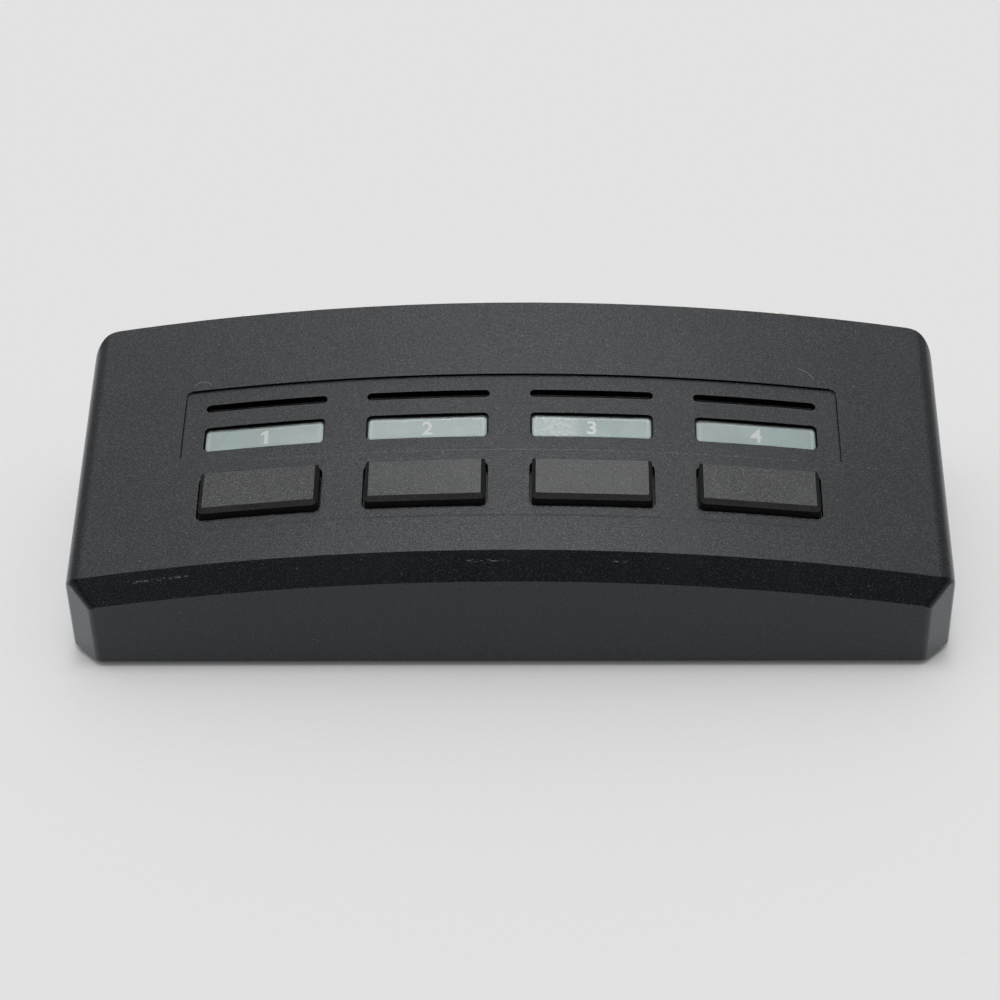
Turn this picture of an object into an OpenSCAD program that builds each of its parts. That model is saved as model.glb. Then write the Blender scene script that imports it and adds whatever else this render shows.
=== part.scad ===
// Four-way audio and video selector switch: a sloping push-button box with label windows on top
// and rows of phono jacks at the back. Pressing one button lets the others go.
// Millimetres. The front faces -Y and +Z is up.
// The origin is on the ground, under the middle of the footprint.

/* [Case] */
// Width of the case
case_w = 200; // [196:1:220]
// Depth of the case, from the front face to the back wall
case_d = 75.5; // [75:0.5:90]
// Height of the front face at its middle, from the bottom edge of the case
front_h = 24.2; // [23.5:0.1:30]
// Rise and run of the bevel between the front face and the top
bevel = 5; // [4.5:0.1:6]
// Slope of the top, in degrees
slope = 13; // [12.5:0.5:15]
// Radius of the crown across the top
crown_r = 575; // [560:5:1200]
// Thickness of the moulded walls
wall = 2.2; // [2:0.1:2.4]
// Leg of the chamfers at the front corners
corner_chamfer = 6.3; // [5:0.1:7]
// Rounding of the creases beside those chamfers
crease_r = 2.5; // [1:0.1:4]
// Rounding where the bevel meets those chamfers
corner_r = 3.5; // [0.5:0.1:4]
// Radius of the back corners
back_corner_r = 6; // [4:0.5:9]
// Rounding along the side edges of the top
edge_r = 5; // [2.6:0.1:6]
// Thickness of the bottom cover
floor_t = 2; // [1.8:0.1:2.5]
// Height of the lip that stands up inside the walls
lip_h = 4; // [2:0.5:5]
// Thickness of that lip
lip_t = 1.2; // [1:0.1:1.6]

/* [Recessed panel] */
// Width of the recessed panel
panel_w = 151.8; // [146:0.2:160]
// Distance of its upper edge from the front face
panel_back = 54.2; // [52.5:0.1:58]
// Distance from the front face of the line where the recess runs out
panel_front = 33.2; // [31:0.1:35]
// Depth of the recess at its upper edge
panel_depth = 0.55; // [0.4:0.05:1]
// Radius of its corners
panel_corner_r = 1.7; // [0.5:0.1:3]

/* [Stations] */
// Distance from button to button
station_pitch = 37.7; // [36:0.1:40]
// Width of a button
button_w = 27.2; // [24:0.1:28]
// Front-to-back length of a button, in plan
button_d = 11.1; // [10.8:0.1:12]
// Distance of the button's middle from the front face
button_y = 22.9; // [22:0.1:24]
// Radius of a button's upright corners
button_corner_r = 1; // [0.5:0.1:2]
// Height of a button above the top
button_rise = 2.25; // [2.1:0.05:3]
// Travel of a button
button_travel = 2; // [1.8:0.1:2.1]
// Chamfer round the button's top
button_chamfer = 0.9; // [0.4:0.1:1.2]
// Gap between a button and its opening
button_gap = 0.55; // [0.4:0.05:0.8]
// Thickness of the button's shell
button_t = 1.4; // [1.2:0.1:1.6]
// Width of a label window
window_w = 28.1; // [25:0.1:29]
// Front-to-back length of a label window, in plan
window_d = 6.9; // [5.5:0.1:7]
// Distance of the window's middle from the front face
window_y = 39.7; // [38.9:0.1:39.8]
// Radius of the window's corners
window_corner_r = 1.2; // [0.4:0.1:1.5]
// Thickness of the clear lens
lens_t = 0.8; // [0.6:0.05:0.8]
// Thickness of a label card
card_t = 0.4; // [0.2:0.05:0.45]
// Width of a label slot, end to end
slot_w = 28.4; // [24:0.1:29]
// Front-to-back length of a label slot, in plan
slot_d = 2.2; // [1.4:0.1:2.4]
// Distance of the slot's middle from the front face
slot_y = 48.8; // [48:0.1:49]

/* [Switch bank] */
// Height of a switch housing
housing_h = 10; // [9:0.1:10.5]
// Width of a switch housing
housing_w = 16; // [14:0.5:18]
// Front-to-back length of a switch housing
housing_d = 12; // [11:0.5:13]
// Width of a plunger
plunger_w = 5; // [4.4:0.1:5]
// Front-to-back length of a plunger
plunger_d = 4; // [3.6:0.1:4]
// Length of a return spring at rest
spring_h = 5.4; // [5:0.1:5.8]
// Wire thickness of the springs
spring_wire = 0.5; // [0.3:0.05:0.6]
// Thickness of the steel frame and latch bar
steel_t = 1; // [0.8:0.1:1.2]
// Travel of the latch bar
latch_travel = 1.5; // [0.8:0.1:1.6]
// Width of the latch bar
latch_w = 8; // [7.6:0.1:8.4]

/* [Board] */
// Thickness of the circuit board
board_t = 1.6; // [1.2:0.1:2]
// Height of the stand-offs under the board
standoff_h = 3; // [2.6:0.1:3.2]
// Gap between the ends of the board and the case's screw bosses
board_gap = 1; // [0.5:0.1:3]

/* [Phono jacks] */
// Distance from one column of jacks to the next
jack_column_pitch = 32; // [30:0.5:33]
// Distance from one row of jacks to the next
jack_row_pitch = 11.4; // [11:0.1:11.6]
// Height of the lowest row above the bottom edge of the case
jack_row_z = 9.3; // [9:0.1:9.6]
// Radius of the metal shell that a plug grips
jack_shell_r = 4.15; // [4:0.05:4.2]
// Wall thickness of the metal shell
jack_shell_t = 0.55; // [0.4:0.05:0.7]
// Radius of the hole that takes the plug's pin
jack_hole_r = 1.75; // [1.65:0.05:1.8]
// How far a jack stands out behind the case
jack_reach = 8.5; // [8:0.1:10]

/* [Feet and screws] */
// Height of the feet below the case
foot_h = 1.5; // [1:0.1:3]
// Radius of a foot
foot_r = 6; // [5:0.1:7]
// Radius of the case screws' shanks
case_screw_r = 1.4; // [1.2:0.05:1.5]
// Radius of the board screws' shanks
board_screw_r = 1.2; // [1:0.05:1.3]

/* [Hidden] */
$fn = 48;
crown_fn = 720;

// Clearances: between nested pieces, between seated pieces, and between sliding pieces
fit_gap = 0.25;
seat_gap = 0.1;
slide_gap = 0.05;
play = 0.3;
// How far a cutting shape runs past what it cuts
over = 1;

case_colour = "#464648";
dark_colour = "#2b2b2d";
button_colour = "#555557";
steel_colour = "#b8babd";

// Main planes of the case
front_y = -(case_d + jack_reach) / 2;
back_y = front_y + case_d;
base_z = foot_h;
floor_z = base_z + floor_t;
crest_y = front_y + bevel;
crest_z = base_z + front_h + bevel;
bevel_slope = 45;
bevel_crown_r = crown_r * cos(slope) / cos(bevel_slope);
sky_z = crest_z + case_d;
run_out = 2 * case_w;
least_r = 0.4;
// Steps, in degrees, of the roundings drawn as points of an outline
arc_step = 12;
// How far the rounded shoulders stand into the crown's arc, so that they cross it
crown_lift = 0.03;

// Depths under the top, from the label lens down to the rails that carry the card
lens_drop = 0.7;
pocket_drop = lens_drop + lens_t;
card_drop = pocket_drop + seat_gap;
rail_drop = card_drop + card_t + seat_gap;
rail_t = 1;
rail_w = 1.2;
rail_foot = rail_drop + rail_t;
card_w = window_w - 2 * fit_gap;
card_front = window_y - window_d / 2 - over;
card_back = slot_y - slot_d / 2;
pocket_w = card_w + 2 * fit_gap;
pocket_d = card_back - card_front + 2 * fit_gap;
pocket_y = front_y + (card_front + card_back) / 2;
lens_y = front_y + window_y;

// Heights inside the case, from the board up to the button's stem
board_z = floor_z + standoff_h;
board_top = board_z + board_t;
housing_top = board_top + housing_h;
housing_floor = 1;
latch_slot_h = steel_t + 2 * slide_gap;
latch_z = housing_top - slide_gap - steel_t;
frame_top = housing_top + steel_t;
collar_z = frame_top + spring_h;
collar_t = 1.5;
collar_w = 8;
stem_z = collar_z + collar_t;
stem_side = 1.7;
post_h = 4.5;
post_step = 0.5;
bank_y = front_y + button_y;

// The lip that keeps a button in its opening
lip_drop = wall / cos(slope) + 0.5;
lip_out = button_gap + 0.6;
skirt_drop = lip_drop + 2 * rail_t;

// The plunger's latching nose, level with the frame at rest and under the latch bar when pressed
nose = 0.7;
nose_d = 1.6;
nose_z = housing_top + seat_gap;
nose_h = button_travel - steel_t - 2 * seat_gap;
bore_w = plunger_w + 2 * nose + 2 * play;
bore_d = plunger_d + 2 * play;
plunger_z = board_top + housing_floor + button_travel + 0.5;
latch_window_w = plunger_w + nose + latch_travel + 2 * play;
latch_window_x = (nose - latch_travel) / 2;
spring_r = norm([plunger_w, plunger_d]) / 2 + 0.15;

// The steel frame and the latch bar along the bank
bank_half = 1.5 * station_pitch + housing_w / 2;
latch_half = bank_half + 1;
frame_half = latch_half + 6;
frame_side = housing_d / 2 + seat_gap;
frame_skirt = 6;
tongue_w = 2.6;
tongue_end = frame_half + 2.5;
latch_spring_r = tongue_w / 2 + 0.4;

// The back wall: its opening, the panel that fills it and the jacks
rear_rim = 3.6;
rear_half = case_w / 2 - 14;
rear_lap = 2;
rear_flange_t = 1.2;
flange_y = back_y - wall - fit_gap - rear_flange_t;
jack_columns = 5;
jack_rows = 3;
jack_face_y = flange_y - seat_gap;
jack_l = back_y + jack_reach - jack_face_y;
collar_l = back_y - jack_face_y;
jack_collar_r = jack_shell_r + 0.3;
jack_panel_r = jack_collar_r + 0.15;
jack_bore_r = jack_shell_r - jack_shell_t;
jack_tip = 0.35;
insert_l = jack_l - 0.6;
insert_lip = 4.4;
contact_r = jack_hole_r + 0.4;
contact_t = 0.4;
socket_r = contact_r + contact_t + slide_gap;
block_w = 12;
block_steps = [11, 9, 6];
block_plate_t = 1.5;
block_edge = 3.8;

// The case's screw bosses, the board between them, its fixings and the feet
boss_x = case_w / 2 - 10;
boss_y = [front_y + 14.5, back_y - 15];
boss_r = 3.5;
fixing_r = 3.2;
fixing_inset = 5;
board_w = 2 * (boss_x - boss_r - board_gap);
board_back = jack_face_y - block_plate_t - fit_gap;
fixing_x = board_w / 2 - fixing_inset;
fixing_y = [bank_y - frame_side - steel_t - fixing_inset, board_back - block_steps[0] - fixing_r];
board_front = fixing_y[0] - fixing_inset;
screw_head_r = 2.7;
screw_head_h = 1.3;
case_screw_l = 11;
pan_head_r = 2.4;
pan_head_h = 1.5;
foot_x = case_w / 2 - 26;
foot_y = [front_y + 13, back_y - 14];
foot_recess = 0.6;
foot_edge = 0.6;

function numbered(name, count) = [for (i = [1:count]) str(name, "_", i)];

// Places of the stations, and of the jacks' columns and rows
function station_x(i) = (i - 2.5) * station_pitch;
function column_x(i) = (i - (jack_columns + 1) / 2) * jack_column_pitch;
function row_z(i) = base_z + jack_row_z + (i - 1) * jack_row_pitch;

// Height of the top, and how steeply the crown falls away along X
function crown_drop(x) = (crown_r - sqrt(crown_r * crown_r - x * x)) / cos(slope);
function crown_lean(x) = -x / sqrt(crown_r * crown_r - x * x) / cos(slope);
function top_z(x, y) = crest_z + (y - crest_y) * tan(slope) - crown_drop(x);

// A rounded corner: its point with the directions to its neighbours, and the points along its arc
function unit(v) = v / norm(v);
function corner(points, i) = let (n = len(points), p = points[i])
    [p, unit(points[(i + n - 1) % n] - p), unit(points[(i + 1) % n] - p)];
function arc_points(c, r) = let (
    half = acos(c[1] * c[2]) / 2,
    turn = 180 - 2 * half,
    steps = ceil(turn / arc_step),
    centre = c[0] + unit(c[1] + c[2]) * r / sin(half),
    start = c[0] + c[1] * r / tan(half) - centre,
    first = atan2(start[1], start[0]))
    [for (k = [0:steps]) centre + r * [cos(first + turn * k / steps), sin(first + turn * k / steps)]];

// A convex outline, counter-clockwise, with its own rounding at each corner, or none where it is zero
module rounded_outline(points, radii) {
    polygon([for (i = [0:len(points) - 1])
        each radii[i] > 0 ? arc_points(corner(points, i), radii[i]) : [points[i]]]);
}

// Upright blocks between two heights, centred on a point in plan
module upright(x, y, w, d, low, high) {
    translate([x - w / 2, y - d / 2, low]) cube([w, d, high - low]);
}

module rounded_upright(x, y, w, d, r, low, high) {
    corners = [[-w / 2, -d / 2], [w / 2, -d / 2], [w / 2, d / 2], [-w / 2, d / 2]];
    translate([x, y, low]) linear_extrude(high - low) rounded_outline(corners, [r, r, r, r]);
}

// Everything below a plane through a point that rises by lean_x along X and by lean_y along Y
module below(point, lean_x, lean_y) {
    turn_y = -atan(lean_x);
    turn_x = atan(lean_y * cos(turn_y));
    translate(point) rotate([turn_x, turn_y, 0]) translate([-case_d, -case_d, -2 * case_d]) cube(2 * case_d);
}

// Everything more than a drop below the flat plane that touches the top at a station
module below_top(i, y, drop) {
    x = station_x(i);
    below([x, y, top_z(x, y) - drop], crown_lean(x), tan(slope));
}

// A layer of a station between two depths under the top
module layer(i, y, shallow, deep) {
    difference() {
        below_top(i, y, shallow);
        below_top(i, y, deep);
    }
}

// Section under the crowned top: an arc over straight sides, with rounded shoulders
module crown_section(r, half, shoulder_r) {
    inner = half - shoulder_r;
    turn = acos(inner / (r - shoulder_r));
    shoulder_y = (r - shoulder_r) * sin(turn) - r + crown_lift + shoulder_r * tan(turn / 2);
    intersection() {
        translate([0, -r]) circle(r, $fn = crown_fn);
        rounded_outline(
            [[-half, -case_w], [half, -case_w], [half, shoulder_y],
             [0, shoulder_y + half / tan(turn)], [-half, shoulder_y]],
            [0, 0, shoulder_r, 0, shoulder_r]);
    }
}

// The space under a crowned surface that rises from the crest at an angle, an inset below it.
// Its straight sides stand a little outside the plan, so that the plan alone makes the side walls.
module under_crown(angle, r, inset, outside) {
    translate([0, crest_y, crest_z]) rotate([angle, 0, 0]) translate([0, 0, -inset]) rotate([90, 0, 0])
        linear_extrude(run_out, center = true)
            crown_section(r - inset, case_w / 2 - inset + outside, max(edge_r - inset, least_r));
}

module under_top(inset) {
    under_crown(slope, crown_r, inset, crown_lift);
}

// The bevel has the same arch as the top, seen from the front
module under_bevel(inset) {
    under_crown(bevel_slope, bevel_crown_r, inset, 2 * crown_lift);
}

// Plan of the case: chamfered at the front corners, rounded at the back
module case_plan(inset) {
    half = case_w / 2 - inset;
    cut = corner_chamfer - inset * (2 - sqrt(2));
    front = front_y + inset;
    back = back_y - inset;
    soft = max(crease_r - inset, least_r);
    turn = max(back_corner_r - inset, least_r);
    rounded_outline(
        [[-half, front + cut], [-half + cut, front], [half - cut, front], [half, front + cut],
            [half, back], [-half, back]],
        [soft, soft, soft, soft, turn, turn]);
}

// The space inside the rounded edge where the bevel meets one front chamfer. Its flat sides stand
// a little outside the bevel and the chamfer, so that only the rounding cuts.
module inside_corner(side) {
    x = case_w / 2 - corner_chamfer / 2;
    y = front_y + corner_chamfer / 2;
    lean = asin(x / bevel_crown_r);
    drop = bevel_crown_r * (1 - cos(lean)) / cos(bevel_slope);
    bevel_out = [side * sin(lean), -cos(lean) * sin(bevel_slope), cos(lean) * cos(bevel_slope)];
    chamfer_out = unit([side, -1, 0]);
    along = unit(cross(chamfer_out, bevel_out));
    up = cross(along, chamfer_out);
    turn = acos(chamfer_out * bevel_out);
    tip = crown_lift * [1, tan(turn / 2)];
    multmatrix([
        [chamfer_out[0], up[0], along[0], side * x],
        [chamfer_out[1], up[1], along[1], y],
        [chamfer_out[2], up[2], along[2], crest_z + (y - crest_y) * tan(bevel_slope) - drop]])
        linear_extrude(2 * run_out, center = true)
            rounded_outline(
                [[crown_lift, -run_out], tip, tip + run_out * [-sin(turn), cos(turn)],
                 [-2 * run_out, -run_out]],
                [0, corner_r, 0, 0]);
}

// The case's outer form, or the form that lies an inset inside it
module case_form(inset, low) {
    intersection() {
        intersection() {
            translate([0, 0, low]) linear_extrude(sky_z) case_plan(inset);
            under_top(inset);
        }
        under_bevel(inset);
    }
}

// The recess round the windows and slots: deepest at its upper edge, running out in front of the windows
module panel_recess() {
    sink = atan(panel_depth * cos(slope) / (panel_back - panel_front));
    hinge = [0, front_y + panel_front, top_z(0, front_y + panel_front)];
    difference() {
        rounded_upright(0, front_y + (panel_front + panel_back) / 2, panel_w, panel_back - panel_front,
            panel_corner_r, base_z + front_h - bevel, sky_z);
        translate(hinge) rotate([-sink, 0, 0]) translate(-hinge) under_top(0);
    }
}

// Cuts of one station through the top: button opening, window, slot and the pocket that takes the card
module station_cuts(i) {
    x = station_x(i);
    rounded_upright(x, bank_y, button_w + 2 * button_gap, button_d + 2 * button_gap,
        button_corner_r + button_gap, frame_top, sky_z);
    difference() {
        union() {
            rounded_upright(x, lens_y, window_w, window_d, window_corner_r, frame_top, sky_z);
            rounded_upright(x, front_y + slot_y, slot_w, slot_d, slot_d / 2 - slide_gap, frame_top, sky_z);
        }
        below_top(i, lens_y, rail_drop);
    }
    intersection() {
        upright(x, pocket_y, pocket_w, pocket_d, frame_top, sky_z);
        layer(i, lens_y, pocket_drop, rail_drop);
    }
    intersection() {
        upright(x, pocket_y, card_w - 2 * rail_w, pocket_d, frame_top, sky_z);
        layer(i, lens_y, pocket_drop, rail_foot);
    }
}

// Rails under the top that carry one label card by its ends and stop its lower edge
module label_rails(i) {
    x = station_x(i);
    intersection() {
        union() {
            for (side = [-1, 1])
                upright(x + side * (pocket_w + rail_w) / 2, pocket_y, rail_w, pocket_d + 2 * rail_w,
                    frame_top, sky_z);
            upright(x, pocket_y - (pocket_d + rail_w) / 2, pocket_w + 2 * rail_w, rail_w, frame_top, sky_z);
        }
        layer(i, lens_y, pocket_drop, rail_foot);
    }
    intersection() {
        for (side = [-1, 1])
            upright(x + side * pocket_w / 2, pocket_y, 2 * rail_w, pocket_d, frame_top, sky_z);
        layer(i, lens_y, rail_drop, rail_foot);
    }
}

// Screw bosses that hang from the top, each tied to the side wall by a rib
module case_bosses() {
    for (side = [-1, 1], y = boss_y) {
        translate([side * boss_x, y, floor_z + seat_gap]) cylinder(r = boss_r, h = sky_z);
        upright(side * (boss_x + case_w / 2) / 2, y, case_w / 2 - boss_x, rail_w,
            floor_z + lip_h + over, sky_z);
    }
}

// The arched space in the back wall, between two depths
module rear_space(inset, half, low, y_front, y_back) {
    intersection() {
        under_top(inset);
        translate([-half, y_front, low]) cube([2 * half, y_back - y_front, sky_z]);
    }
}

module top_cover() color(case_colour) {
    difference() {
        union() {
            difference() {
                intersection() {
                    intersection() {
                        case_form(0, base_z);
                        inside_corner(-1);
                    }
                    inside_corner(1);
                }
                case_form(wall, base_z - over);
            }
            intersection() {
                case_form(wall / 2, base_z);
                union() {
                    case_bosses();
                    for (i = [1:4]) label_rails(i);
                }
            }
        }
        panel_recess();
        for (i = [1:4]) station_cuts(i);
        rear_space(rear_rim, rear_half, base_z - over, back_y - wall - over, back_y + over);
        for (side = [-1, 1], y = boss_y)
            translate([side * boss_x, y, base_z])
                cylinder(r = case_screw_r + slide_gap, h = case_screw_l + over);
    }
}

// Countersunk hole from the underside of the bottom cover
module screw_hole() {
    translate([0, 0, -over]) cylinder(r = case_screw_r + fit_gap, h = floor_t + 2 * over);
    translate([0, 0, -seat_gap]) cylinder(r1 = screw_head_r + 2 * seat_gap, r2 = case_screw_r + seat_gap,
        h = screw_head_h + seat_gap);
}

module bottom_cover() color(dark_colour) {
    inset = wall + fit_gap;
    difference() {
        union() {
            translate([0, 0, base_z]) linear_extrude(floor_t) case_plan(inset);
            difference() {
                translate([0, 0, base_z]) linear_extrude(floor_t + lip_h) case_plan(inset);
                translate([0, 0, floor_z]) linear_extrude(lip_h + over) case_plan(inset + lip_t);
                upright(0, back_y, 2 * (rear_half + rear_lap + fit_gap), 2 * (back_y - flange_y + over),
                    floor_z, floor_z + lip_h + over);
            }
            for (side = [-1, 1], y = fixing_y)
                translate([side * fixing_x, y, base_z]) cylinder(r = fixing_r, h = floor_t + standoff_h);
        }
        for (side = [-1, 1], y = fixing_y)
            translate([side * fixing_x, y, floor_z]) cylinder(r = board_screw_r + slide_gap, h = sky_z);
        for (side = [-1, 1], y = boss_y)
            translate([side * boss_x, y, base_z]) screw_hole();
        for (side = [-1, 1], y = foot_y)
            translate([side * foot_x, y, base_z - over])
                cylinder(r = foot_r + fit_gap, h = foot_recess + over);
    }
}

// A plate that fills the opening in the back wall, with a flange behind the wall
module rear_panel() color(dark_colour) {
    fill_inset = rear_rim + fit_gap;
    fill_half = rear_half - fit_gap;
    difference() {
        union() {
            rear_space(fill_inset, fill_half, floor_z + seat_gap, flange_y, back_y);
            rear_space(fill_inset, fill_half, base_z, back_y - wall, back_y);
            rear_space(wall + fit_gap, rear_half + rear_lap, floor_z + seat_gap, flange_y,
                flange_y + rear_flange_t);
        }
        for (c = [1:jack_columns], r = [1:jack_rows])
            translate([column_x(c), flange_y - over, row_z(r)]) rotate([-90, 0, 0])
                cylinder(r = jack_panel_r, h = case_d);
    }
}

// A button's sides, up to a plane that follows the top
module button_sides(i, w, d, r, drop) {
    intersection() {
        rounded_upright(station_x(i), bank_y, w, d, r, floor_z, sky_z);
        below_top(i, bank_y, drop);
    }
}

// The space inside the chamfers round a button's top
module button_chamfers(i) {
    x = station_x(i);
    lean_x = crown_lean(x);
    lean_y = tan(slope);
    half_w = button_w / 2;
    half_d = button_d / 2;
    edge_z = top_z(x, bank_y) + button_rise - button_chamfer;
    intersection() {
        below([x, bank_y - half_d, edge_z - lean_y * half_d], lean_x, lean_y + 1);
        below([x, bank_y + half_d, edge_z + lean_y * half_d], lean_x, lean_y - 1);
        below([x - half_w, bank_y, edge_z - lean_x * half_w], lean_x + 1, lean_y);
        below([x + half_w, bank_y, edge_z + lean_x * half_w], lean_x - 1, lean_y);
    }
}

// Hollow button cap with a retaining lip and a stem that takes the plunger's post
module button(i) color(button_colour) {
    x = station_x(i);
    difference() {
        union() {
            intersection() {
                button_sides(i, button_w, button_d, button_corner_r, -button_rise);
                button_chamfers(i);
            }
            difference() {
                button_sides(i, button_w + 2 * lip_out, button_d + 2 * lip_out, button_corner_r, lip_drop);
                below_top(i, bank_y, lip_drop + rail_t);
            }
        }
        below_top(i, bank_y, skirt_drop);
        button_sides(i, button_w - 2 * button_t, button_d - 2 * button_t, button_corner_r,
            button_t - button_rise);
    }
    difference() {
        intersection() {
            upright(x, bank_y, plunger_w + 2 * stem_side, button_d - button_t, stem_z, sky_z);
            below_top(i, bank_y, button_t / 2 - button_rise);
        }
        upright(x, bank_y, plunger_w - 2 * post_step + seat_gap, plunger_d - 2 * post_step + seat_gap,
            stem_z - over, stem_z + post_h + seat_gap);
    }
}

module window_lens(i) color("#dfe8ea", 0.5) {
    intersection() {
        rounded_upright(station_x(i), lens_y, window_w - 2 * seat_gap, window_d - 2 * seat_gap,
            window_corner_r - seat_gap, frame_top, sky_z);
        layer(i, lens_y, lens_drop, pocket_drop);
    }
}

module label_card(i) color("#a5b4b4") {
    intersection() {
        upright(station_x(i), pocket_y, card_w, card_back - card_front, frame_top, sky_z);
        layer(i, lens_y, card_drop, card_drop + card_t);
    }
}

module main_board() color("#8a6f3c") {
    difference() {
        upright(0, (board_front + board_back) / 2, board_w, board_back - board_front, board_z, board_top);
        for (side = [-1, 1], y = fixing_y)
            translate([side * fixing_x, y, board_z - over])
                cylinder(r = board_screw_r + play, h = board_t + 2 * over);
    }
}

// Steel channel over the switch housings, with a leg at each end that stands on the board
module switch_frame() color(steel_colour) {
    leg_x = frame_half - steel_t / 2;
    deep = 2 * (frame_side + steel_t);
    difference() {
        union() {
            upright(0, bank_y, 2 * frame_half, deep, housing_top, frame_top);
            for (side = [-1, 1]) {
                upright(0, bank_y + side * (frame_side + steel_t / 2), 2 * frame_half, steel_t,
                    housing_top - frame_skirt, frame_top);
                upright(side * leg_x, bank_y, steel_t, 2 * frame_side, board_top, frame_top);
            }
        }
        for (i = [1:4])
            upright(station_x(i), bank_y, bore_w, bore_d, housing_top - over, frame_top + over);
        upright((latch_half + frame_half - steel_t) / 2, bank_y, frame_half - steel_t - latch_half + 2 * play,
            2 * (latch_spring_r + spring_wire + play), housing_top - over, frame_top + over);
        upright(leg_x, bank_y, steel_t + 2 * over, tongue_w + 2 * play, latch_z - play,
            latch_z + steel_t + play);
    }
}

// Switch housing with a bore for the plunger and a groove across its top for the latch bar
module switch_housing(i) color(dark_colour) {
    x = station_x(i);
    difference() {
        upright(x, bank_y, housing_w, housing_d, board_top, housing_top);
        upright(x, bank_y, bore_w, bore_d, board_top + housing_floor, housing_top + over);
        upright(x, bank_y, housing_w + 2 * over, latch_w + 2 * play, housing_top - latch_slot_h,
            housing_top + over);
    }
}

// Plunger: a shaft with a latching nose, a collar over the spring and a post for the button
module plunger(i) color("#e8e4d8") {
    x = station_x(i);
    upright(x, bank_y, plunger_w, plunger_d, plunger_z, stem_z);
    upright(x, bank_y, collar_w, collar_w, collar_z, stem_z);
    upright(x, bank_y, plunger_w - 2 * post_step, plunger_d - 2 * post_step, collar_z, stem_z + post_h);
    translate([x, bank_y + nose_d / 2, nose_z]) rotate([90, 0, 0]) linear_extrude(nose_d)
        polygon([[0, 0], [plunger_w / 2, 0], [plunger_w / 2 + nose, nose_h / 2],
            [plunger_w / 2 + nose, nose_h], [0, nose_h]]);
}

module return_spring(i) color(steel_colour) {
    translate([station_x(i), bank_y, frame_top]) difference() {
        cylinder(r = spring_r + spring_wire, h = spring_h);
        translate([0, 0, -over]) cylinder(r = spring_r, h = spring_h + 2 * over);
    }
}

// Sliding strip with a window round each plunger and a tongue for its spring
module latch_bar() color(steel_colour) {
    difference() {
        union() {
            upright(0, bank_y, 2 * latch_half, latch_w, latch_z, latch_z + steel_t);
            upright((latch_half + tongue_end) / 2, bank_y, tongue_end - latch_half, tongue_w, latch_z,
                latch_z + steel_t);
        }
        for (i = [1:4])
            upright(station_x(i) + latch_window_x, bank_y, latch_window_w, bore_d, latch_z - over,
                latch_z + steel_t + over);
    }
}

module latch_spring() color(steel_colour) {
    length = frame_half - steel_t - latch_half;
    translate([latch_half, bank_y, latch_z + steel_t / 2]) rotate([0, 90, 0]) difference() {
        cylinder(r = latch_spring_r + spring_wire, h = length);
        translate([0, 0, -over]) cylinder(r = latch_spring_r, h = length + 2 * over);
    }
}

// Stepped block on the board that carries one column of jacks
module jack_block(c) color(dark_colour) {
    x = column_x(c);
    intersection() {
        union() {
            for (r = [1:jack_rows])
                upright(x, jack_face_y - block_steps[r - 1] / 2, block_w, block_steps[r - 1], board_top,
                    row_z(r) + block_edge);
            upright(x, jack_face_y - block_plate_t / 2, block_w, block_plate_t, row_z(1) - jack_collar_r,
                row_z(jack_rows) + block_edge);
        }
        under_top(wall + 2 * fit_gap);
    }
}

module at_jack(c, r) {
    translate([column_x(c), jack_face_y, row_z(r)]) rotate([-90, 0, 0]) children();
}

// Metal shells of one column: a collar in the back panel and a bare end that the plug grips
module jack_shells(c) color(steel_colour) {
    tip_r = jack_shell_r - jack_tip;
    for (r = [1:jack_rows])
        at_jack(c, r) rotate_extrude()
            polygon([[jack_bore_r, 0], [jack_collar_r, 0], [jack_collar_r, collar_l],
                [jack_shell_r, collar_l], [jack_shell_r, jack_l - jack_tip], [tip_r, jack_l],
                [jack_bore_r, jack_l]]);
}

// Coloured insulators of one row
module jack_inserts(r) {
    insert_r = jack_bore_r - slide_gap;
    for (c = [1:jack_columns])
        at_jack(c, r) rotate_extrude()
            polygon([[socket_r, 0], [insert_r, 0], [insert_r, insert_l], [jack_hole_r, insert_l],
                [jack_hole_r, insert_l - insert_lip], [socket_r, insert_l - insert_lip]]);
}

// Centre contacts of one column
module jack_contacts(c) color("#c9a24a") {
    length = insert_l - insert_lip - seat_gap;
    for (r = [1:jack_rows])
        at_jack(c, r) difference() {
            cylinder(r = contact_r + contact_t, h = length);
            translate([0, 0, -over]) cylinder(r = contact_r, h = length + 2 * over);
        }
}

module case_screws() color(steel_colour) {
    for (side = [-1, 1], y = boss_y)
        translate([side * boss_x, y, base_z]) {
            cylinder(r1 = screw_head_r, r2 = case_screw_r, h = screw_head_h);
            cylinder(r = case_screw_r, h = case_screw_l);
        }
}

module board_screws() color(steel_colour) {
    shank = board_t + standoff_h - seat_gap;
    for (side = [-1, 1], y = fixing_y)
        translate([side * fixing_x, y, board_top]) {
            cylinder(r = pan_head_r, h = pan_head_h);
            translate([0, 0, -shank]) cylinder(r = board_screw_r, h = shank + over);
        }
}

module foot(i) color("#1d1d1e") {
    side = i % 2 == 1 ? -1 : 1;
    height = foot_h + foot_recess;
    translate([side * foot_x, foot_y[floor((i - 1) / 2)], 0]) rotate_extrude()
        polygon([[0, 0], [foot_r - foot_edge, 0], [foot_r, foot_edge], [foot_r, height], [0, height]]);
}

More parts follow.
